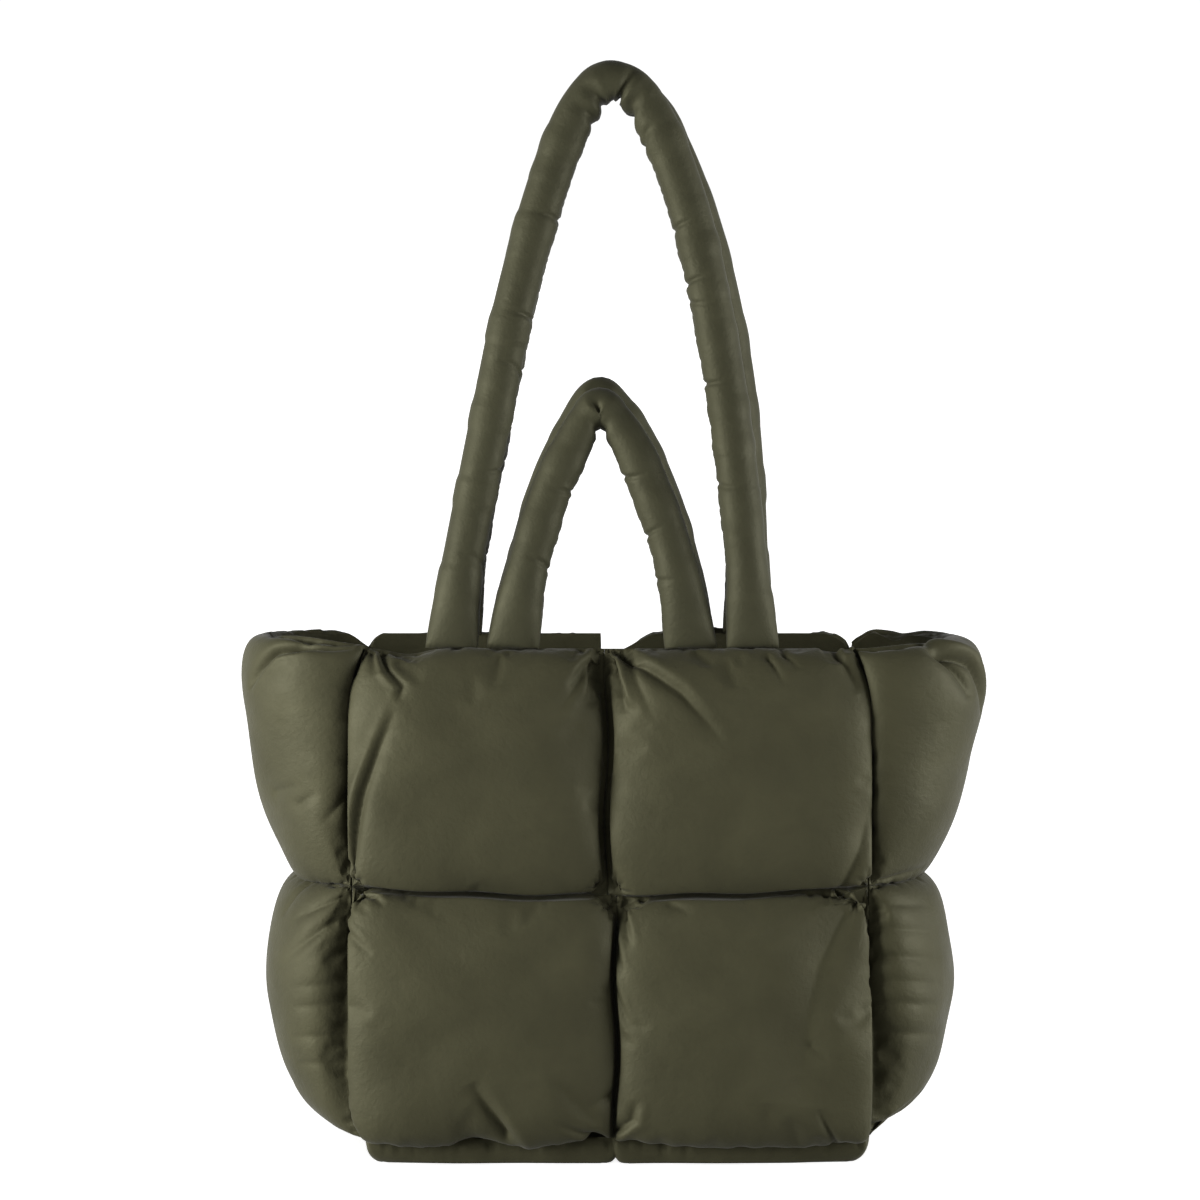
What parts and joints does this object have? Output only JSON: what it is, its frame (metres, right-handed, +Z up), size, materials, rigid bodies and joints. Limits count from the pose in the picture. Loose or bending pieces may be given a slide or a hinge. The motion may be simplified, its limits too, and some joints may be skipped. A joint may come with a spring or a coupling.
{
  "type": "padded shoulder bag",
  "caption": "Open-topped padded tote bag of stuffed nylon squares, with side gussets folded outwards, long shoulder straps and short hand straps, all stuffed tubes.",
  "frame": {"origin": "on the floor, at the middle of the bag's bounding box", "axes": "+Z up, +X to the right seen from the front, and the front faces -Y"},
  "size_m": [0.4197, 0.179, 0.6105],
  "materials": {
    "shell_nylon": "dark olive nylon with a soft satin sheen",
    "strap_nylon": "dark olive nylon with a soft satin sheen"
  },
  "bodies": {
    "root": {"front_upper_left": "shell_nylon", "front_upper_right": "shell_nylon", "front_lower_left": "shell_nylon", "front_lower_right": "shell_nylon", "back_upper_left": "shell_nylon", "back_upper_right": "shell_nylon", "back_lower_left": "shell_nylon", "back_lower_right": "shell_nylon", "left_gusset_upper": "shell_nylon", "left_gusset_lower": "shell_nylon", "right_gusset_upper": "shell_nylon", "right_gusset_lower": "shell_nylon", "base_left": "shell_nylon", "base_right": "shell_nylon", "front_shoulder_strap": "strap_nylon", "back_shoulder_strap": "strap_nylon", "front_hand_strap": "strap_nylon", "back_hand_strap": "strap_nylon"}
  },
  "joints": []
}
